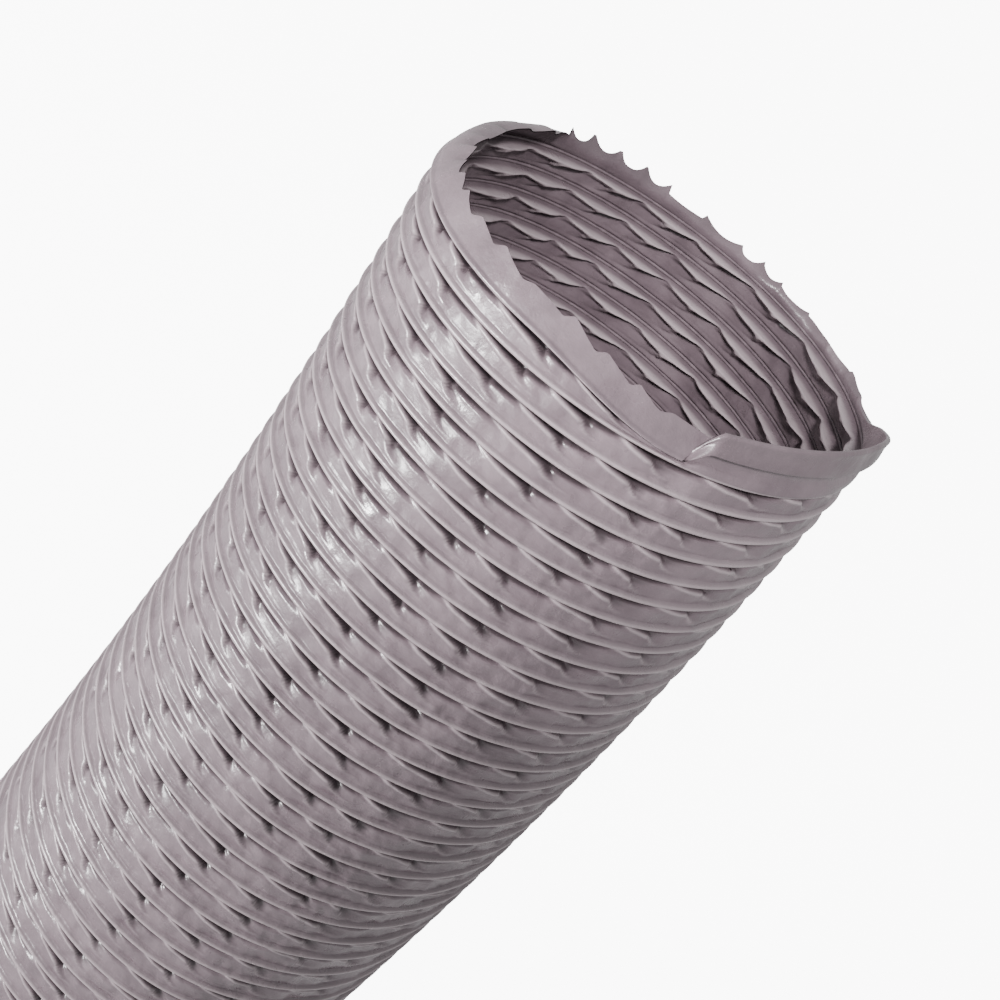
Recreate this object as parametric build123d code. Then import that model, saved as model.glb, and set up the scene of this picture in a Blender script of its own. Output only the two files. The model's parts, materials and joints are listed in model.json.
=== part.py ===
"""Flexible air duct: a vinyl-coated fabric wall on a spring-steel wire helix.

Units are millimetres. The duct stands on one end with its axis on +Z, and its
origin is the centre of the bottom end. The wire is one right-handed helix whose
two ends sit at the same azimuth. Its turns are closest at the open end, where the
duct is squeezed most, and open up evenly towards the bottom.

Wire and wall are both divided once per turn, because every turn moves by itself
when the duct is squeezed, pulled out or bent. From the bottom cuff to the open end
the pieces alternate: wall, wire, wall, wire.

A wall turn is a thin cone, wide at its own wire and narrowing upwards into the
next wall turn, as the real wall tucks in under each wire. The cones telescope,
so the wall stays closed over the whole travel.
"""

from build123d import *

import os

# Driving dimensions
BORE_RADIUS = 101.6          # inside of the end flaps: an 8 inch duct
WIRE_DIAMETER = 1.4
WIRE_SIDES = 12              # the round section as a fine polygon, which keeps the helix light
WIRE_RADIUS = 102.6          # centreline of the wire
BOTTOM_PITCH = 14.1          # spacing of the wire turns at the bottom end
OPEN_PITCH = 11.3            # and at the open end
MOVING_TURNS = 28
CUFF_TURNS = 7               # turns that stay rigid on the collar at the bottom end
FLAP_HEIGHT = 10.0           # free fabric beyond the first and the last wire turn
WIRE_END_AZIMUTH = -68.0     # degrees from +X, both ends of the wire
WIRE_END_GAP = 2.0           # degrees left free where two wire turns meet

# Wall of coated fabric
WALL_THICKNESS = 0.8         # measured along the radius
FOOT_RADIUS = 100.6          # outer radius of a wall turn at its wire
WALL_SLOPE = 0.42            # inward run per unit of height
WALL_HEIGHT = 21.0           # longer than a pitch, so that neighbours overlap
FOOT_DROP = 2.0              # the foot's distance below the middle of its wire turn
WIRE_CLEARANCE = 1.2         # from the wire's centre at its end to the flap's shoulder

ALL_TURNS = CUFF_TURNS + MOVING_TURNS + 1
FLAP_OUTER = BORE_RADIUS + WALL_THICKNESS
INNER_FOOT = FOOT_RADIUS - WALL_THICKNESS


def wire_height(turn):
    """Height of the wire after that many turns, counted from its bottom end."""
    tightening = (BOTTOM_PITCH - OPEN_PITCH) / (2 * ALL_TURNS)
    return FLAP_HEIGHT + turn * BOTTOM_PITCH - turn**2 * tightening


def foot_height(turn):
    """Foot of the wall that hangs on wire turn number `turn`, counted from 0 at the bottom."""
    return wire_height(turn + 0.5) - FOOT_DROP


WIRE_TOP = wire_height(ALL_TURNS)
TOTAL_HEIGHT = WIRE_TOP + FLAP_HEIGHT


def ring(outer, inner):
    """Revolve a wall between an outer and an inner line, both given from the bottom up."""
    outline = outer + inner[::-1]
    profile = Polyline(*[(radius, 0, height) for radius, height in outline], close=True)
    return revolve(make_face(profile), axis=Axis.Z)


def cone_lines(foot, height):
    """Outer and inner line of one wall cone, from its foot up."""
    neck = FOOT_RADIUS - WALL_SLOPE * height
    outer = [(FOOT_RADIUS, foot), (neck, foot + height)]
    inner = [(radius - WALL_THICKNESS, z) for radius, z in outer]
    return outer, inner


def pleat_lines(turn):
    """One pitch of folded wall above a wire turn, which joins the next one through a flat shelf."""
    foot = foot_height(turn)
    outer, inner = cone_lines(foot, foot_height(turn + 1) - foot)
    return outer, [(radius, z + WALL_THICKNESS) for radius, z in inner]


def wall_turn(turn):
    """The wall above wire turn number `turn`, counted from 0 at the bottom."""
    return ring(*cone_lines(foot_height(turn), WALL_HEIGHT))


def cuff_wall():
    """The bottom end: a straight flap, then one pleat for each rigid turn."""
    shoulder = FLAP_HEIGHT - WIRE_CLEARANCE
    ledge = shoulder - WALL_THICKNESS
    outer = [(FLAP_OUTER, 0), (FLAP_OUTER, shoulder), (FOOT_RADIUS, shoulder)]
    inner = [(BORE_RADIUS, 0), (BORE_RADIUS, ledge), (INNER_FOOT, ledge)]
    for turn in range(CUFF_TURNS - 1):
        pleat_outer, pleat_inner = pleat_lines(turn)
        outer += pleat_outer
        inner += pleat_inner
    last_foot = foot_height(CUFF_TURNS - 1)
    cone_outer, cone_inner = cone_lines(last_foot, WALL_HEIGHT)
    outer += cone_outer
    inner += [(INNER_FOOT, last_foot + WALL_THICKNESS), cone_inner[1]]
    return ring(outer, inner)


def end_flap():
    """The open end: the last pleat, the wall inside the last wire turn, and the straight flap."""
    shoulder = WIRE_TOP + WIRE_CLEARANCE
    ledge = shoulder + WALL_THICKNESS
    outer, inner = pleat_lines(ALL_TURNS - 2)
    inner[0] = (INNER_FOOT, outer[0][1])
    last_foot = foot_height(ALL_TURNS - 1)
    outer += [(FOOT_RADIUS, last_foot), (FOOT_RADIUS, shoulder)]
    inner += [(INNER_FOOT, last_foot + WALL_THICKNESS), (INNER_FOOT, ledge)]
    outer += [(FLAP_OUTER, shoulder), (FLAP_OUTER, TOTAL_HEIGHT)]
    inner += [(BORE_RADIUS, ledge), (BORE_RADIUS, TOTAL_HEIGHT)]
    return ring(outer, inner)


def wire(first_turn, turns):
    """A right-handed length of the wire helix, short of its neighbours by half the gap at each end."""
    bottom = wire_height(first_turn)
    pitch = (wire_height(first_turn + turns) - bottom) / turns
    gap_rise = pitch * WIRE_END_GAP / 360
    path = Helix(pitch=pitch, height=turns * pitch - gap_rise, radius=WIRE_RADIUS)
    section = Plane(origin=path @ 0, z_dir=path % 0) * RegularPolygon(WIRE_DIAMETER / 2, WIRE_SIDES)
    coil = sweep(section, path=path, is_frenet=True)
    turned = coil.rotate(Axis.Z, WIRE_END_AZIMUTH + WIRE_END_GAP / 2)
    return turned.translate((0, 0, bottom + gap_rise / 2))


def cuff_wire():
    """The rigid turns of the wire, one after another, as a single solid helix of even pitch."""
    return wire(0, CUFF_TURNS)


def make_nodes():
    """Every sub-part of the duct by name, from the bottom end to the open end."""
    nodes = {"cuff_wall": cuff_wall(), "cuff_wire": cuff_wire()}
    for number in range(1, MOVING_TURNS + 1):
        turn = CUFF_TURNS + number - 1
        nodes[f"wire_turn_{number:02d}"] = wire(turn, 1)
        if number < MOVING_TURNS:
            nodes[f"wall_turn_{number:02d}"] = wall_turn(turn)
    nodes["end_flap"] = end_flap()
    nodes["end_wire_turn"] = wire(ALL_TURNS - 1, 1)
    return nodes


os.makedirs("parts", exist_ok=True)
for name, shape in make_nodes().items():
    shape.label = name
    export_step(shape, f"parts/{name}.step")
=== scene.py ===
"""The looks of a flexible air duct: a folded vinyl wall on a wire helix, seen from above its open end."""
import json
import math
from collections import namedtuple

import bmesh
import bpy
import numpy as np
from mathutils import Matrix, Vector


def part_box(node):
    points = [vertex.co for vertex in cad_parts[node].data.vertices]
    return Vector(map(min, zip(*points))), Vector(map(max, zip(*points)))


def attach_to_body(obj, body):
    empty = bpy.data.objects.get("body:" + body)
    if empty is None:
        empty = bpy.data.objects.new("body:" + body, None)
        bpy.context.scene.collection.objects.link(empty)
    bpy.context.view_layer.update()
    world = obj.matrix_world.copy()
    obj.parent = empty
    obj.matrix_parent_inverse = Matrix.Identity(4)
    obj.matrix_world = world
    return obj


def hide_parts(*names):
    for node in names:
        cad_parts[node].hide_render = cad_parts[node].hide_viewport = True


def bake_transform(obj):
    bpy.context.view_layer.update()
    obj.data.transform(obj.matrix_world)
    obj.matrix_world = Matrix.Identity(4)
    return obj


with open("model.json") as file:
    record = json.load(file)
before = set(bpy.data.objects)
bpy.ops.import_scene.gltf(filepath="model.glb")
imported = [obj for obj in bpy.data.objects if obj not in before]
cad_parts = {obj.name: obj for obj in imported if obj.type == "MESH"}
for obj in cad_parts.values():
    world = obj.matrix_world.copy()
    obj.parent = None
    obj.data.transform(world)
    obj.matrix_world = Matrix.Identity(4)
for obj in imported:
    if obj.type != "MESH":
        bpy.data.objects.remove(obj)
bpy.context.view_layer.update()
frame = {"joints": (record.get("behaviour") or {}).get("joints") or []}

MM = 0.001
TAU = 2 * math.pi

# The wire helix, read from the frame. Heights are in metres and a turn is counted from the bottom end.
WIRE_END_AZIMUTH = math.radians(-68)
WIRE_RADIUS = 0.7 * MM
CUFF_TURNS = 7
MOVING_TURNS = sum(joint["type"] == "slide" for joint in frame["joints"])
TURNS = CUFF_TURNS + MOVING_TURNS + 1
HELIX_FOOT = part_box("cuff_wire")[0].z + WIRE_RADIUS
CUFF_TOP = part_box("wire_turn_01")[0].z + WIRE_RADIUS
WIRE_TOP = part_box("end_wire_turn")[1].z - WIRE_RADIUS
HEIGHT_FIT = np.polyfit([0, CUFF_TURNS, TURNS], [HELIX_FOOT, CUFF_TOP, WIRE_TOP], 2)
CREST_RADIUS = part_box("end_wire_turn")[1].x + 0.55 * MM   # the wall's outside over the wire
BORE_RADIUS = 101.6 * MM
WIRE_SIDES = 8
WIRE_STEP = 4                # columns of the wall between two rings of the wire
WIRE_DEPTH = 0.95 * MM       # of the wire's centre under the middle of the cloth's crest

# The grid of the wall: columns along the helix, rows from each ridge up to the next one
COLUMNS = 640
ROWS = 34
CLOTH = 0.45 * MM            # thickness of the coated fabric

# Pleats
PLEATS = 18.95               # per turn
PLEAT_WIDTH = TAU * CREST_RADIUS / PLEATS
HOOK_RADIUS = 1.8 * MM       # of a pleat's rounded end
BEAD_HALF_WIDTH = 0.8        # of the cloth over the wire, in millimetres
WEDGE_DEPTH = 7.4 * MM       # of the deepest fold
ROUNDING = 0.12 * MM         # where a pleat meets the cloth over the wire
SEED = 11

# The open end: the wire's last stretch is squeezed down onto the turn below
TUCK = 9.5 * MM
TUCK_LENGTH = 0.11           # turns
FLAP_WIDTH = 10.5 * MM       # of the free flap, about
FLAP_DEPTH_SHADED = 2.2 * MM # the flap isn't shaded as if it lay down in a fold

# Cuts between the slices of the wall, as a share of the way from one wire turn to the next
LOWER_CUT = 0.213
UPPER_CUT = 0.713
SNAP = 0.08 * MM             # a point this near to a cut is moved onto it
FOOT = 0.1 * MM              # where the wall is cut to stand on the floor
OVER_ALL = 1.0               # a height above everything, in metres
CUT_WIDTH = 21 * MM          # of the vinyl strip between two wire turns, before it is folded
FLAP_CUT = 14 * MM           # of its free end beyond the last wire turn

rng = np.random.default_rng(SEED)


def wire_height(turn):
    """Height of the wire's centre, and of the ridge over it, after a number of turns."""
    return np.polyval(HEIGHT_FIT, turn)


def pitch(turn):
    """Spacing of the wire turns about a turn."""
    return wire_height(turn + 0.5) - wire_height(turn - 0.5)


def smooth(low, high, x):
    """0 below `low`, 1 above `high` and a smooth step between them."""
    t = np.clip((x - low) / (high - low), 0, 1)
    return t * t * (3 - 2 * t)


def soft_least(a, b, width):
    """The smaller of two depths, rounded over `width` where they cross."""
    return -width * np.logaddexp(-a / width, -b / width)


# ---------------------------------------------------------------- the bow of the whole duct
BOW_AZIMUTH = math.radians(167.5)
BOW_CURVATURE = 0.312        # per metre
BOW_DIRECTION = np.array([math.cos(BOW_AZIMUTH), math.sin(BOW_AZIMUTH)])
BOW_START = 60 * MM          # the lowest part stands upright


def bow_offset(height):
    """Sideways shift of the centre line, against BOW_DIRECTION, and its slope there."""
    down = WIRE_TOP - height
    start_slope = BOW_CURVATURE * WIRE_TOP / 2
    offset = start_slope * down - BOW_CURVATURE * down**2 / 2
    slope = start_slope - BOW_CURVATURE * down
    return np.maximum(offset, 0), slope * smooth(0, BOW_START, height)


# ---------------------------------------------------------------- the pleats
def cell_table():
    """Where each pleat starts along the helix, in turns, and its own random sizes.

    A pleat's place wanders from its even spacing, partly along with the pleat below it.
    """
    count = int((TURNS + 6) * PLEATS)
    below = round(PLEATS)
    steps = rng.normal(0, 0.115, count)
    wander = np.zeros(count)
    for k in range(1, count):
        wander[k] = 0.35 * wander[k - 1] + steps[k]
        if k >= below:
            wander[k] = 0.5 * wander[k - below] + 0.5 * wander[k] + 0.6 * steps[k]
    start = (np.arange(count) + np.clip(wander, -0.3, 0.3)) / PLEATS - 3
    return start, rng.uniform(0, 1, (count, 6))


CELL_START, CELL_RANDOM = cell_table()


def cell_place(turn):
    """Which pleat a point is in, and how far along it, from 0 at the hook before it to 1 at its own."""
    cell = np.clip(np.searchsorted(CELL_START, turn, side="right") - 1, 1, len(CELL_START) - 2)
    return cell, (turn - CELL_START[cell]) / (CELL_START[cell + 1] - CELL_START[cell])


def bead(distance, slope):
    """Depth of the cloth wrapped over the wire, at a distance to one side of its middle."""
    bend = 0.1                                   # millimetres
    past = distance / MM - BEAD_HALF_WIDTH
    return MM * ((distance / MM)**2 / 1.8 + slope * bend * np.logaddexp(0, past / bend))


def slat(u, v, size, tone):
    """Depth of one pleat in millimetres, and how much of a point is on its rolled edge.

    The face is nearly flat. Beyond its upper edge and its rounded right end it drops away.
    """
    # the upper edge leaves the ridge at `branch` and has come down to `reach` at the pleat's end
    branch = 0.16 + 0.14 * tone[..., 0]
    reach = 0.37 + 0.10 * tone[..., 1]
    run = np.clip((u - branch) / (1 - branch), 0, 1.2)
    edge = reach * run**0.75
    inner = np.clip(run, 0, 1)
    across = np.clip((v - edge) / (1 - edge), 0, 1)
    face = 1.5 + (0.5 + 0.4 * tone[..., 4]) * inner - 0.1 * across
    face = face - np.sin(math.pi * across**0.75) * (0.55 * inner**2 - 0.25 * (1 - inner))

    # beyond the edges
    end = 0.95 + 0.16 * np.clip(v - reach, 0, 0.5)
    above = np.clip((edge - v) * size + HOOK_RADIUS, 0, None)
    beyond = np.clip((u - end) * PLEAT_WIDTH + HOOK_RADIUS, 0, None)
    beyond = beyond * (1 - 0.95 * smooth(0.50, 0.80, v))
    outside = (np.hypot(above, beyond) - HOOK_RADIUS) / MM
    drop = 4.6 * (np.sqrt(np.clip(outside, 0, None)**2 + 0.02) - 0.14)
    roll = np.exp(-((outside + 0.55) / 0.6)**2) * smooth(0.05, 0.35, inner) * (1 - smooth(0.55, 0.80, v))

    # set back at its left end, where the pleat before lies over it
    strength = 0.85 + 0.3 * tone[..., 2]
    place = np.clip(u, 0, None)
    low = 0.5 + 1.6 * (1 - smooth(0.45, 0.80, v))
    setback = low * np.exp(-(place / (0.17 + 0.08 * tone[..., 3]))**1.4)
    under = 5.2 * (1 - smooth(0.14, 0.42, v)) * np.exp(-(place / (0.42 + 0.10 * tone[..., 3]))**3)
    return face - 0.55 * roll + drop + strength * (setback + under), roll


def pleat_depth(turn, v, size):
    """Depth of the wall under the crest radius in metres, and how much painted highlight it gets there,
    from 0 to 1.

    turn runs along the lower ridge, v from 0 at the upper ridge to 1 at the lower one, size is the pitch.
    """
    cell, u = cell_place(turn)
    before = (turn - CELL_START[cell - 1]) / (CELL_START[cell] - CELL_START[cell - 1])
    own, own_roll = slat(u, v, size, CELL_RANDOM[cell])
    other, other_roll = slat(before, v, size, CELL_RANDOM[cell - 1])
    depth = soft_least(own, other, 0.1) * MM
    # painted highlight on the rolled edge of whichever pleat lies on top
    rubbed = np.where(own < other, own_roll, other_roll)

    # the beads over the wire: undercut below the ridge, nearly flush above it
    depth = soft_least(depth, bead(v * size, 4.2), ROUNDING)
    depth = soft_least(depth, bead((1 - v) * size, 2.2), ROUNDING)
    # painted highlight along the cloth over the wire
    from_wire = np.minimum(v, 1 - v) * size / MM
    rubbed = np.maximum(rubbed, np.exp(-(from_wire / BEAD_HALF_WIDTH)**2))
    return soft_least(depth, np.full_like(depth, WEDGE_DEPTH), 0.4 * MM), rubbed


def crinkle(azimuth, height):
    """Small irregular folds of the coated fabric, in metres."""
    total = np.zeros_like(azimuth)
    draw = np.random.default_rng(SEED + 1)
    for wave, size, amount in ((26, 0.30, 6), (11, 0.18, 10), (5.5, 0.07, 14)):
        for _ in range(amount):
            number = round(TAU * CREST_RADIUS / (wave * MM) * draw.uniform(0.3, 1.0))
            rise = TAU / (wave * MM) * draw.uniform(-1.0, 1.0)
            phase = draw.uniform(0, TAU)
            total += size * MM / math.sqrt(amount) * np.cos(number * azimuth + rise * height + phase)
    return total


def blur(field, passes):
    """Rounds the creases a little along the helix."""
    for _ in range(passes):
        middle = field.copy()
        middle[1:-1] = 0.25 * field[:-2] + 0.5 * field[1:-1] + 0.25 * field[2:]
        field = middle
    return field


# ---------------------------------------------------------------- the open end
def rim_shift(azimuth, height):
    """How the open end is pulled out of its plane: the far side stands higher than the near side."""
    near_top = smooth(WIRE_TOP - 0.13, WIRE_TOP, height)
    far = 0.5 + 0.5 * np.sin(azimuth)
    left = np.clip(np.cos(azimuth - math.radians(150)), 0, 1)**4
    return near_top * (13.0 * far - 2.0 + 3.0 * left) * MM


def upright_flap(up, round_it, u, tone, far, near):
    """Height and inward lean, in millimetres, of the part of the free flap that isn't folded outwards."""
    curled = near * (1 - smooth(0.66, 0.80, round_it))    # the far left curls over
    height = ((5.5 + 3.0 * smooth(0.40, 0.55, round_it)) * far + 8.8 * (near - curled)) * up
    height = height + 11.0 * curled * (1 - (1 - up)**2.2)

    # pointed peaks on the far side, stepped scallops on the near one, two for each pleat
    half = (2 * u) % 1
    half_size = np.where(u < 0.5, tone[..., 5], tone[..., 2])
    peak_size = 4.4 * np.where(u < 0.5, 1, np.abs(2 * u - 1.5) * 2) * half_size**1.5
    peaks = (2 * np.abs(half - 0.5))**2.0 * (0.4 + peak_size)
    crease = np.exp(-((1 - np.abs(2 * half - 1)) / 0.2)**2)
    steps = (smooth(0, 0.3, half) - half) * (1.8 + 2.2 * half_size)
    height = height + (far * peaks + near * steps) * up**2

    curl = 1.1 * np.sin(math.pi * up) + (2.4 * tone[..., 3] - 0.6) * crease * up**2 - 0.5 * peaks * up**3
    fluting = 0.5 * np.cos(TAU * (u + 0.1)) * up
    near_lean = (4.4 + 7.4 * curled) * up**(1.25 + curled) + 1.2 * fluting + 0.5 * steps * up
    return height, 0.9 * smooth(0, 0.15, up) + near * near_lean + far * (curl + 2.2 * fluting)


def folded_collar(up, round_it):
    """Height and inward lean, in millimetres, of the part of the flap that is folded outwards.

    It goes up on the inside, over the fold, and down on the outside to its free edge.
    """
    crown = np.sin(math.pi * np.clip(round_it / 0.25, 0, 1))
    fading = smooth(0.13, 0.24, round_it)
    rise = 16.5 + 7.0 * crown - 11.0 * fading
    free_edge = 8.0 + 4.0 * crown - 3.0 * fading
    cut = 2 * rise - free_edge
    path = up * cut
    over = smooth(rise - 0.7, rise + 1.3, path)
    wave = 0.5 * np.cos(TAU * 4.3 * round_it + 1.0)
    back = 2.8 * smooth(0, 4, path) - 1.5 * smooth(6, 14, path)
    flare = -0.4 - 1.2 * smooth(rise + 3, cut, path)
    height = rise + 0.4 - np.sqrt((path - rise)**2 + 0.25)
    return height, (back + wave) * (1 - over) + over * (flare + wave)


def free_end(turn, v):
    """Depth, height over the last ridge and turning of the free flap beyond the last wire turn."""
    round_it = turn - (TURNS - 1)                # 0 just right of the wire's end, 1 back at it
    up = 1 - v
    cell, u = cell_place(turn)
    folded = 1 - smooth(0.20, 0.27, round_it)    # outward and down, next to the wire's end
    near = smooth(0.555, 0.60, round_it)         # leans inward
    far = (1 - folded) * (1 - near)

    height, lean = upright_flap(up, round_it, u, CELL_RANDOM[cell], far, near)
    collar_height, collar_lean = folded_collar(up, round_it)
    height = height * (1 - folded) + folded * collar_height
    lean = lean * (1 - folded) + folded * collar_lean
    wrapped = bead(up * FLAP_WIDTH, 2.2) / MM    # the cloth goes round the wire before it leans in
    lean = np.where(lean > 0, np.minimum(lean, wrapped), lean)

    # its last stretch lies inside its beginning
    overlap = math.radians(5.0) * up * smooth(TURNS - 0.03, TURNS, turn)
    lean = lean + 1.8 * smooth(TURNS - 0.06, TURNS, turn) * up
    return lean * MM, height * MM, overlap


# ---------------------------------------------------------------- the grid
def row_places():
    """Rows of a band from the lower ridge up: denser at both ridges and where the wall folds under."""
    v = np.linspace(0, 1, 2001)
    density = 1 + 1.5 * np.exp(-(v / 0.06)**2) + 1.3 * np.exp(-((v - 0.27) / 0.15)**2)
    density += 1.5 * np.exp(-((1 - v) / 0.06)**2)
    share = np.concatenate([[0], np.cumsum(density[1:] + density[:-1])])
    return np.interp(np.arange(ROWS + 1) / ROWS, share / share[-1], v)[::-1]


def wall_points():
    """Every point of the helical ribbon: columns along the helix, rows up to the next ridge.

    The last axis holds the point's place, its depth for the shading and how much painted highlight it gets
    on its ridges and rolled edges.
    """
    columns = np.arange(-2 * COLUMNS, TURNS * COLUMNS + 1)
    T, V = np.meshgrid(columns / COLUMNS, row_places(), indexing="ij")
    size = pitch(T + 0.5)
    depth, rubbed = pleat_depth(T, V, size)
    depth = blur(depth, 2)
    level = T + 1 - V
    azimuth = WIRE_END_AZIMUTH + TAU * T
    height = wire_height(level)
    plain = smooth(-0.15, 0.25, level)           # no pleats in the straight end below the wire
    depth = depth * plain + (CREST_RADIUS - BORE_RADIUS - CLOTH) * (1 - plain)
    sag = 0.10 * np.clip(depth - 1.5 * MM, 0, None) * (1 - smooth(0.35, 0.8, V)) * plain
    depth = depth + crinkle(azimuth, height) * smooth(0.02, 0.2, V) * (1 - smooth(0.88, 1.0, V)) * plain

    tuck = TUCK * smooth(TURNS - TUCK_LENGTH, TURNS, T)
    tuck_above = TUCK * smooth(TURNS - TUCK_LENGTH, TURNS, T + 1)
    free = T > TURNS - 1
    height = height - sag - np.where(free, tuck, V * tuck + (1 - V) * tuck_above)

    # the free flap
    flap_depth, flap_height, overlap = free_end(T, V)
    start = smooth(TURNS - 1, TURNS - 1 + 0.012, T)
    tip = wire_height(TURNS) - TUCK - wire_height(TURNS - 1)
    flap_height = start * flap_height + (1 - start) * (1 - V) * tip
    flap_height = wire_height(T) - tuck + flap_height
    height = np.where(free, flap_height, height)
    depth = np.where(free, depth * (1 - start) + start * flap_depth, depth)
    azimuth = np.where(free, azimuth + overlap, azimuth)

    height = height + rim_shift(azimuth, height)
    radius = CREST_RADIUS - depth
    offset, slope = bow_offset(height)
    x = radius * np.cos(azimuth)
    y = radius * np.sin(azimuth)
    toward = x * BOW_DIRECTION[0] + y * BOW_DIRECTION[1]
    x = x - offset * BOW_DIRECTION[0]
    y = y - offset * BOW_DIRECTION[1]
    # no painted highlight on the free flap
    rubbed = np.where(free, 0.0, rubbed)
    shade_depth = np.where(free, np.minimum(depth, FLAP_DEPTH_SHADED), depth)
    return np.stack([x, y, height - slope * toward, shade_depth, rubbed], -1)


def wall_surface(points):
    """Vertices and quads of the whole wall as one helical ribbon.

    A column's last row is the first row of the column one turn on, so the ribbon is joined to itself.
    """
    count = len(points)
    columns = np.arange(count) - 2 * COLUMNS
    index = np.arange(count * ROWS).reshape(count, ROWS)
    top = np.empty(count, int)
    closed = columns + COLUMNS <= columns[-1]
    top[closed] = index[np.flatnonzero(closed) + COLUMNS, 0]
    loose = np.flatnonzero(~closed)
    top[loose] = count * ROWS + np.arange(len(loose))
    vertices = [points[:, :ROWS].reshape(-1, points.shape[-1]), points[loose, ROWS]]
    full = np.concatenate([index, top[:, None]], 1)
    a, b, c, d = full[:-1, :-1], full[1:, :-1], full[1:, 1:], full[:-1, 1:]
    quads = np.stack([a, b, c, d], -1).reshape(-1, 4)
    return np.concatenate(vertices), quads


# ---------------------------------------------------------------- meshes
def mesh_from(name, vertices, corners, starts):
    """A mesh from its points, the points at its faces' corners and the first corner of each face."""
    mesh = bpy.data.meshes.new(name)
    mesh.vertices.add(len(vertices))
    mesh.vertices.foreach_set("co", np.asarray(vertices, np.float32).ravel())
    mesh.loops.add(len(corners))
    mesh.loops.foreach_set("vertex_index", np.asarray(corners, np.int32))
    mesh.polygons.add(len(starts))
    mesh.polygons.foreach_set("loop_start", np.asarray(starts, np.int32))
    mesh.update(calc_edges=True)
    return mesh


def read(collection, name, width, kind=np.float32):
    """One property of all the members of a collection, as an array."""
    out = np.empty(len(collection) * width, kind)
    collection.foreach_get(name, out)
    return out.reshape(-1, width) if width > 1 else out


def store(mesh, name, kind, domain, values):
    """Keeps one value or vector for each point, edge or corner of a mesh."""
    field = "vector" if kind in ("FLOAT_VECTOR", "FLOAT2") else "value"
    values = values.astype(bool if kind == "BOOLEAN" else np.float32)
    mesh.attributes.new(name, kind, domain).data.foreach_set(field, values.ravel())


def unit(vectors):
    """Vectors scaled to a length of 1."""
    return vectors / np.maximum(np.linalg.norm(vectors, axis=1), 1e-12)[:, None]


def cut_between(mesh, low, high):
    """The part of a mesh between two heights, as a new bmesh."""
    cut = bmesh.new()
    cut.from_mesh(mesh)
    for height, side in ((low, -1), (high, 1)):
        bmesh.ops.bisect_plane(cut, geom=cut.verts[:] + cut.edges[:] + cut.faces[:], dist=1e-7,
                               plane_co=(0, 0, height), plane_no=(0, 0, side), clear_outer=True)
    return cut


def slab(vertices, normals, states, quads, spans, low, high):
    """The part of the surface between two heights, cut cleanly, with its normals and state carried over."""
    inside = (spans[1] > low) & (spans[0] < high)
    used, corners = np.unique(quads[inside], return_inverse=True)
    corners = corners.reshape(-1)
    mesh = mesh_from("slab", vertices[used], corners, np.arange(0, len(corners), 4))
    store(mesh, "surface_normal", "FLOAT_VECTOR", "POINT", normals[used])
    store(mesh, "state", "FLOAT2", "POINT", states[used])
    cut = cut_between(mesh, low, high)
    cut.to_mesh(mesh)
    cut.free()
    points = read(mesh.vertices, "co", 3).astype(float)
    carried = unit(read(mesh.attributes["surface_normal"].data, "vector", 3).astype(float))
    state = read(mesh.attributes["state"].data, "vector", 2)
    corners = read(mesh.loops, "vertex_index", 1, np.int32)
    starts = read(mesh.polygons, "loop_start", 1, np.int32)
    bpy.data.meshes.remove(mesh)
    return points, carried, state, corners, starts


def thicken(name, points, normals, state, corners, starts):
    """A closed shell of the cloth's thickness about a cut surface, with matching shading at every cut."""
    count = len(points)
    ends = np.append(starts[1:], len(corners))
    total = ends - starts
    following = np.arange(len(corners)) + 1
    following[ends - 1] = starts

    # the surface's open edges: no other face runs along them the other way
    a, b = corners, corners[following]
    free = ~np.isin(a.astype(np.int64) * count + b, b.astype(np.int64) * count + a)
    fa, fb = a[free], b[free]

    # inner faces run the other way round, and a rim joins them to the outer ones
    owner = np.repeat(np.arange(len(starts)), total)
    place = np.arange(len(corners)) - starts[owner]
    mirrored = corners[starts[owner] + total[owner] - 1 - place] + count
    rim = np.stack([fb, fa, fa + count, fb + count], -1).reshape(-1)
    all_corners = np.concatenate([corners, mirrored, rim])
    rim_starts = 2 * len(corners) + 4 * np.arange(len(fa))
    all_starts = np.concatenate([starts, starts + len(corners), rim_starts])
    sides = np.concatenate([points + normals * CLOTH / 2, points - normals * CLOTH / 2])
    mesh = mesh_from(name, sides, all_corners, all_starts)
    mesh.polygons.foreach_set("use_smooth", np.arange(len(all_starts)) < 2 * len(starts))

    # the shell's cut edges are sharp, so that its two sides keep their own shading up to the cut
    edge_ends = np.sort(read(mesh.edges, "vertices", 2, np.int32), axis=1).astype(np.int64)
    outer_cut = np.stack([fa, fb], 1)
    cut_ends = np.sort(np.concatenate([outer_cut, outer_cut + count]), axis=1).astype(np.int64)
    sharp = np.isin(edge_ends @ [2 * count, 1], cut_ends @ [2 * count, 1])
    store(mesh, "sharp_edge", "BOOLEAN", "EDGE", sharp)

    # painted shade where each side lies down in a fold: outside where it is deep, inside next to the wire
    depth, rubbed = state.T
    beside_wire = 0.42 * (1 - smooth(0.3 * MM, 2.6 * MM, depth))
    store(mesh, "fold", "FLOAT", "POINT", np.concatenate([smooth(2.5 * MM, 4.0 * MM, depth), beside_wire]))
    # painted highlight: outside on the ridges and rolled edges, inside on the tops of the bulges behind the
    # deep folds
    store(mesh, "rubbed", "FLOAT", "POINT", np.concatenate([rubbed, smooth(3.0 * MM, 6.0 * MM, depth)]))

    shading = np.concatenate([normals, -normals])[np.concatenate([corners, mirrored])]
    rim_normal = unit(np.cross(points[fa] - points[fb], normals[fa] + normals[fb]))
    shading = np.concatenate([shading, np.repeat(rim_normal, 4, axis=0)])
    store(mesh, "custom_normal", "FLOAT_VECTOR", "CORNER", shading)
    return mesh


# ---------------------------------------------------------------- materials
VINYL_LIGHT = (0.130, 0.099, 0.112, 1)
VINYL_DARK = (0.084, 0.062, 0.072, 1)
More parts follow.
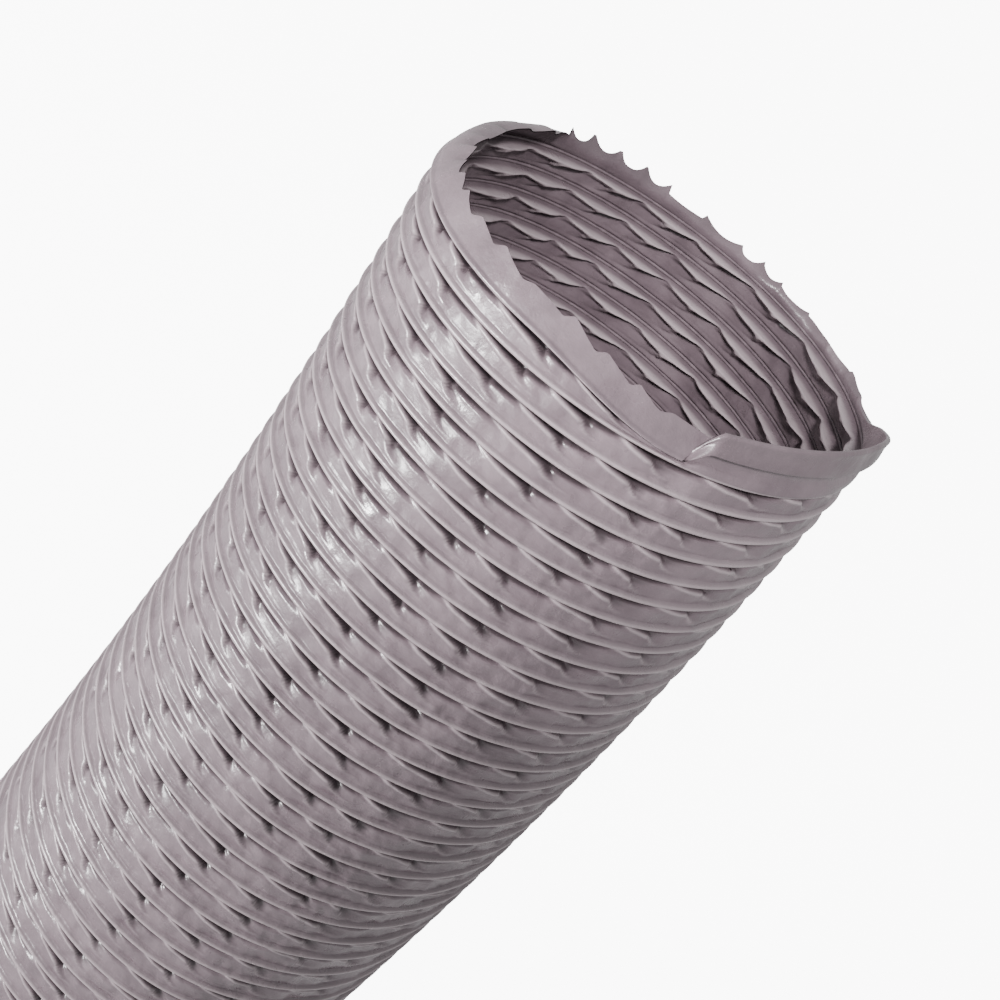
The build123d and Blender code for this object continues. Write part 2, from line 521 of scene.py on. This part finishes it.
# the painted highlight colour, for ridges, rolled edges and inner bulges
VINYL_PAINTED_HIGHLIGHT = (0.260, 0.214, 0.229, 1)
# the painted shade colour, for the folds
VINYL_PAINTED_SHADE = (0.022, 0.016, 0.018, 1)

# Scales of the noise textures, per metre
CLOUDS = 38
GLOSS_PATCHES = 95
WRINKLES = 110
GRAIN = 1500
WIRE_STAINS = 220


def node(tree, kind, **settings):
    """A shader node with its properties and input values set."""
    made = tree.nodes.new(kind)
    for key, value in settings.items():
        if hasattr(made, key):
            setattr(made, key, value)
        else:
            made.inputs[key.replace("_", " ")].default_value = value
    return made


def mix(tree, factor, first, second):
    """Blends two colours by a factor; each may be a socket or a fixed colour."""
    made = tree.nodes.new("ShaderNodeMix")
    made.data_type = "RGBA"
    for socket, value in ((made.inputs[0], factor), (made.inputs[6], first), (made.inputs[7], second)):
        if isinstance(value, bpy.types.NodeSocket):
            tree.links.new(value, socket)
        else:
            socket.default_value = value
    return made.outputs[2]


def spread(tree, source, low, high, to_low=0.0, to_high=1.0):
    """Maps a value's range onto another one."""
    made = node(tree, "ShaderNodeMapRange", From_Min=low, From_Max=high, To_Min=to_low, To_Max=to_high)
    tree.links.new(source, made.inputs["Value"])
    return made.outputs["Result"]


def noise(tree, where, scale, detail, roughness=0.5):
    """A noise texture's value."""
    made = node(tree, "ShaderNodeTexNoise", Scale=scale, Detail=detail, Roughness=roughness)
    tree.links.new(where, made.inputs["Vector"])
    return made.outputs["Fac"]


def shader_of(name):
    """A new material with its node tree and its main shader."""
    material = bpy.data.materials.new(name)
    material.use_nodes = True
    return material, material.node_tree, material.node_tree.nodes["Principled BSDF"]


def vinyl():
    """Satin grey vinyl on a thin fabric: cloudy in colour, grained, wrinkled, with painted shade in its
    folds and painted highlights on its ridges and rolled edges.
    """
    material, tree, shader = shader_of("vinyl")
    where = node(tree, "ShaderNodeTexCoord").outputs["Object"]
    fold = node(tree, "ShaderNodeAttribute", attribute_name="fold").outputs["Fac"]
    rubbed = node(tree, "ShaderNodeAttribute", attribute_name="rubbed").outputs["Fac"]

    clouds = spread(tree, noise(tree, where, CLOUDS, 4, 0.6), 0.32, 0.68)
    colour = mix(tree, clouds, VINYL_DARK, VINYL_LIGHT)
    # painted highlight on ridges, rolled edges and inner bulges
    colour = mix(tree, spread(tree, rubbed, 0.0, 1.0, 0.0, 0.8), colour, VINYL_PAINTED_HIGHLIGHT)
    # painted shade in the folds
    colour = mix(tree, spread(tree, fold, 0.0, 1.0, 0.0, 0.68), colour, VINYL_PAINTED_SHADE)
    tree.links.new(colour, shader.inputs["Base Color"])

    gloss = spread(tree, noise(tree, where, GLOSS_PATCHES, 3), 0.3, 0.7, 0.22, 0.48)
    tree.links.new(gloss, shader.inputs["Roughness"])
    shader.inputs["Specular IOR Level"].default_value = 0.55
    shader.inputs["Coat Weight"].default_value = 0.12
    shader.inputs["Coat Roughness"].default_value = 0.2

    wrinkles = node(tree, "ShaderNodeBump", Strength=0.62, Distance=0.0012)
    tree.links.new(noise(tree, where, WRINKLES, 4, 0.6), wrinkles.inputs["Height"])
    grain = node(tree, "ShaderNodeBump", Strength=0.20, Distance=0.00012)
    tree.links.new(noise(tree, where, GRAIN, 2), grain.inputs["Height"])
    tree.links.new(wrinkles.outputs["Normal"], grain.inputs["Normal"])
    tree.links.new(grain.outputs["Normal"], shader.inputs["Normal"])
    return material


def coated_wire():
    """Spring steel with a thin dull coat of the wall's vinyl."""
    material, tree, shader = shader_of("coated_wire")
    where = node(tree, "ShaderNodeTexCoord").outputs["Object"]
    tone = spread(tree, noise(tree, where, WIRE_STAINS, 3), 0.3, 0.7)
    tree.links.new(mix(tree, tone, VINYL_DARK, VINYL_LIGHT), shader.inputs["Base Color"])
    tree.links.new(spread(tree, tone, 0, 1, 0.34, 0.5), shader.inputs["Roughness"])
    return material


# ---------------------------------------------------------------- pieces
# One slice of the wall: its heights, the one body it rides on or the two it lies between, and the CAD node
# it stands for
Slice = namedtuple("Slice", "name low high bodies node")


def pitch_at(height):
    """Spacing of the wire turns at a height."""
    step = np.arange(TURNS + 1)
    return pitch(np.interp(height, wire_height(step), step))


def zones():
    """Every slice of the wall, from the bottom up."""
    starts = [wire_height(CUFF_TURNS + k) for k in range(MOVING_TURNS + 1)]
    step = np.diff(starts)
    last = starts[0] + LOWER_CUT * step[0]
    cuff_cuts = [FOOT] + [wire_height(k) for k in range(1, CUFF_TURNS)] + [last]
    slices = [Slice(f"cuff_wall_{k + 1}", cuff_cuts[k], cuff_cuts[k + 1], ("cuff",), "cuff_wall")
              for k in range(CUFF_TURNS)]
    for k in range(MOVING_TURNS):
        top_one = k + 1 == MOVING_TURNS
        number = f"{k + 1:02d}"
        below = "cuff" if k == 0 else f"wall_{k:02d}"
        wire = f"wire_{number}"
        above = "open_end" if top_one else f"wall_{number}"
        middle = starts[k] + UPPER_CUT * step[k]
        high = starts[k + 1] + LOWER_CUT * (step[k] if top_one else step[k + 1])
        stands_for = "end_flap" if top_one else f"wall_turn_{number}"
        slices += [Slice(f"wall_{number}_lower", last, middle, (below, wire), f"wire_turn_{number}"),
                   Slice(f"wall_{number}_upper", middle, high, (wire, above), stands_for)]
        last = high
    slices.append(Slice("open_end_wall", last, OVER_ALL, ("open_end",), "end_flap"))
    return slices


def link(name, mesh, material):
    """A piece in the scene, with its material."""
    mesh.materials.append(material)
    piece = bpy.data.objects.new(name, mesh)
    bpy.context.scene.collection.objects.link(piece)
    return piece


def attach(piece, part):
    """Rides on one body; a slice between two bodies only has its place baked into its points."""
    if len(part.bodies) == 2:
        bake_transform(piece)
    else:
        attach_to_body(piece, part.bodies[0])


def build_wall(points):
    """The vinyl wall, one piece for each slice."""
    vertices, quads = wall_surface(points[..., :3])
    states = wall_surface(points[..., 3:])[0]
    for part in zones():                         # no slivers beside the cuts
        for cut in (part.low, part.high):
            vertices[np.abs(vertices[:, 2] - cut) < SNAP, 2] = cut
    spans = np.stack([vertices[quads, 2].min(1), vertices[quads, 2].max(1)])
    whole = mesh_from("whole", vertices, quads.reshape(-1), np.arange(0, quads.size, 4))
    normals = read(whole.vertices, "normal", 3).astype(float)
    bpy.data.meshes.remove(whole)
    material = vinyl()
    for part in zones():
        mesh = thicken(part.name, *slab(vertices, normals, states, quads, spans, part.low, part.high))
        piece = link(part.name, mesh, material)
        attach(piece, part)
        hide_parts(part.node)
        top = min(part.high, WIRE_TOP)
        width = CUT_WIDTH * (top - part.low) / pitch_at(0.5 * (part.low + top))
        if part.high > WIRE_TOP:
            width += FLAP_CUT


def wire_tube(points):
    """The steel wire inside the bead, as one tube along the ridge of the wall."""
    line = points[2 * COLUMNS::WIRE_STEP, 0, :3]
    inward = unit(-line * np.array([1, 1, 0]))
    line = line + inward * WIRE_DEPTH
    along = unit(np.gradient(line, axis=0))
    side = np.cross(along, inward)
    angle = TAU * np.arange(WIRE_SIDES) / WIRE_SIDES
    ring = np.cos(angle)[None, :, None] * inward[:, None] + np.sin(angle)[None, :, None] * side[:, None]
    vertices = (line[:, None] + WIRE_RADIUS * ring).reshape(-1, 3)
    index = np.arange(len(vertices)).reshape(-1, WIRE_SIDES)
    turned = np.roll(index, -1, axis=1)
    quads = np.stack([index[:-1], turned[:-1], turned[1:], index[1:]], -1).reshape(-1, 4)
    ends = [index[0][::-1].tolist(), index[-1].tolist()]
    return vertices, quads, ends


def wire_slice(name, vertices, quads, ends, low, high):
    """The part of the wire between two heights, closed where it is cut."""
    z = vertices[quads, 2]
    inside = np.flatnonzero((z.max(1) > low) & (z.min(1) < high))
    faces = quads[inside].tolist() + [end for end in ends if low < vertices[end[0], 2] < high]
    used, corners = np.unique(np.concatenate([np.asarray(face) for face in faces]), return_inverse=True)
    starts = np.cumsum([0] + [len(face) for face in faces[:-1]])
    mesh = mesh_from(name, vertices[used], corners.reshape(-1), starts)
    cut = cut_between(mesh, low, high)
    bmesh.ops.holes_fill(cut, edges=[edge for edge in cut.edges if edge.is_boundary], sides=0)
    bmesh.ops.recalc_face_normals(cut, faces=cut.faces[:])
    for face in cut.faces:
        face.smooth = len(face.verts) == 4
    cut.to_mesh(mesh)
    cut.free()
    return mesh


def build_wire(points):
    """The spring-steel wire, sliced like the wall that holds it, with the cuff's turns in one piece."""
    vertices, quads, ends = wire_tube(points)
    material = coated_wire()
    cuff, moving = zones()[:CUFF_TURNS], zones()[CUFF_TURNS:]
    slices = [Slice("cuff_wire_turns", cuff[0].low, cuff[-1].high, ("cuff",), "cuff_wire")]
    for part in moving:
        number = part.name.split("_")[1]
        stands_for = "end_wire_turn" if part.bodies == ("open_end",) else f"wire_turn_{number}"
        slices.append(part._replace(name=part.name.replace("wall", "wire"), node=stands_for))
    for part in slices:
        mesh = wire_slice(part.name, vertices, quads, ends, part.low, part.high)
        piece = link(part.name, mesh, material)
        attach(piece, part)
        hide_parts(part.node)


# ---------------------------------------------------------------- stage, camera and lights
def stage():
    """A plain pale floor and an even sky."""
    bpy.ops.mesh.primitive_plane_add(size=60, location=(0, 0, 0))
    floor = bpy.context.object
    floor.name = "floor"
    material, _, shader = shader_of("floor")
    shader.inputs["Base Color"].default_value = (0.9, 0.9, 0.9, 1)
    shader.inputs["Roughness"].default_value = 0.9
    shader.inputs["Emission Color"].default_value = (1, 1, 1, 1)
    shader.inputs["Emission Strength"].default_value = 9.0
    floor.data.materials.append(material)
    # the floor's glow shows, but lights nothing but the floor
    lit = bpy.data.collections.new("lit_by_floor")
    lit.objects.link(floor)
    floor.light_linking.receiver_collection = lit
    world = bpy.data.worlds.new("studio")
    bpy.context.scene.world = world
    world.use_nodes = True
    world.node_tree.nodes["Background"].inputs["Color"].default_value = (1, 1, 1, 1)
    world.node_tree.nodes["Background"].inputs["Strength"].default_value = 0.77


CAMERA_DISTANCE = 0.598
CAMERA_CENTRE_DROP = 3.536 * MM      # of the camera's centre under the wire's end
CAMERA_ELEVATION = math.radians(17.50)
CAMERA_YAW = math.radians(0.372)
CAMERA_PITCH = math.radians(-9.448)
CAMERA_ROLL = math.radians(-35.949)
CAMERA_LENS = 53.23


def turn_matrix(axis, angle):
    """A turn about an axis."""
    return Matrix.Rotation(angle, 3, axis)


def camera():
    """The photo's camera, placed against the open end."""
    away = Vector((0, -math.cos(CAMERA_ELEVATION), math.sin(CAMERA_ELEVATION)))
    forward = -away
    right = forward.cross(Vector((0, 0, 1))).normalized()
    up = right.cross(forward)
    yaw = turn_matrix(up, CAMERA_YAW)
    forward, right = yaw @ forward, yaw @ right
    tip = turn_matrix(right, CAMERA_PITCH)
    forward, up = tip @ forward, tip @ up
    roll = turn_matrix(forward, CAMERA_ROLL)
    right, up = roll @ right, roll @ up
    # the duct's top leans with the bow, and the camera was placed against that top
    _, slope = bow_offset(WIRE_TOP)
    lean_axis = Vector((BOW_DIRECTION[0], BOW_DIRECTION[1], 0)).cross(Vector((0, 0, 1)))
    lean = turn_matrix(lean_axis, -math.atan(float(slope)))
    centre = Vector((0, 0, WIRE_TOP - CAMERA_CENTRE_DROP))
    data = bpy.data.cameras.new("camera")
    data.lens = CAMERA_LENS
    data.sensor_width = 36
    data.clip_start = 0.01
    eye = bpy.data.objects.new("camera", data)
    bpy.context.scene.collection.objects.link(eye)
    basis = Matrix((lean @ right, lean @ up, -(lean @ forward))).transposed()
    eye.matrix_world = Matrix.Translation(centre + lean @ (CAMERA_DISTANCE * away)) @ basis.to_4x4()
    bpy.context.scene.camera = eye


def lamp(name, kind, place, target, power, **settings):
    """A lamp at a place, turned towards a target."""
    data = bpy.data.lights.new(name, kind)
    data.energy = power
    for key, value in settings.items():
        setattr(data, key, value)
    made = bpy.data.objects.new(name, data)
    bpy.context.scene.collection.objects.link(made)
    made.location = place
    made.rotation_euler = (Vector(target) - Vector(place)).to_track_quat("-Z", "Y").to_euler()
    return made


def lights():
    """A soft key light from the left, and a narrow one that reaches only into the open end."""
    lamp("key", "AREA", (-1.42, -0.98, 0.36), (0, 0, 0.24), 92, shape="DISK", size=0.42)
    inside = lamp("inside", "SPOT", (0.08, -1.04, 1.12), (0.02, 0.06, 0.45), 200,
                  spot_size=0.235, spot_blend=0.6, shadow_soft_size=0.12)
    inside.visible_glossy = False


wall = wall_points()
build_wall(wall)
build_wire(wall)
stage()
camera()
lights()
